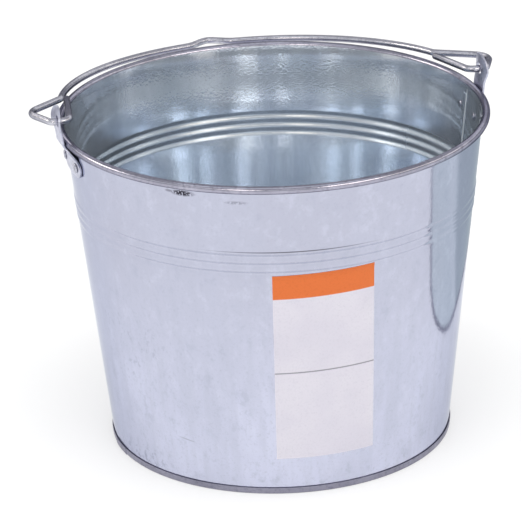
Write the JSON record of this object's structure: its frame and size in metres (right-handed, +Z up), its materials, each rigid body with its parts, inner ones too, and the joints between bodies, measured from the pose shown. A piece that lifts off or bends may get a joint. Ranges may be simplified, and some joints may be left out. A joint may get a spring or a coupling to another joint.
{
  "type": "galvanized bucket",
  "caption": "Round tapered sheet-metal bucket with a wired rim, ribbed wall, banded foot and a hinged wire bail folded down behind the rim.",
  "frame": {"origin": "on the ground under the middle of the bucket", "axes": "+Z up, the two ears on X, the bail folded down towards +Y, so -Y is the front"},
  "size_m": [0.3349, 0.3193, 0.2586],
  "materials": {
    "galvanized_sheet": "satin",
    "galvanized_wire": "satin",
    "galvanized_foot": "satin",
    "galvanized_ear": "satin",
    "rivet_steel": "satin"
  },
  "bodies": {
    "pail": {"pail_wall": "galvanized_sheet", "rim_wire": "galvanized_wire", "bottom_pan": "galvanized_sheet", "foot_band": "galvanized_foot", "ear_right": "galvanized_ear", "ear_left": "galvanized_ear", "rivet_right_front": "rivet_steel", "rivet_right_back": "rivet_steel", "rivet_left_front": "rivet_steel", "rivet_left_back": "rivet_steel"},
    "bail": {"bail": "galvanized_wire"}
  },
  "joints": [
    {"name": "bail_hinge", "type": "hinge", "parent": "pail", "child": "bail", "pos_m": [0, 0, 0.2473], "axis": [1, 0, 0], "range_deg": [0, 190.5]}
  ]
}
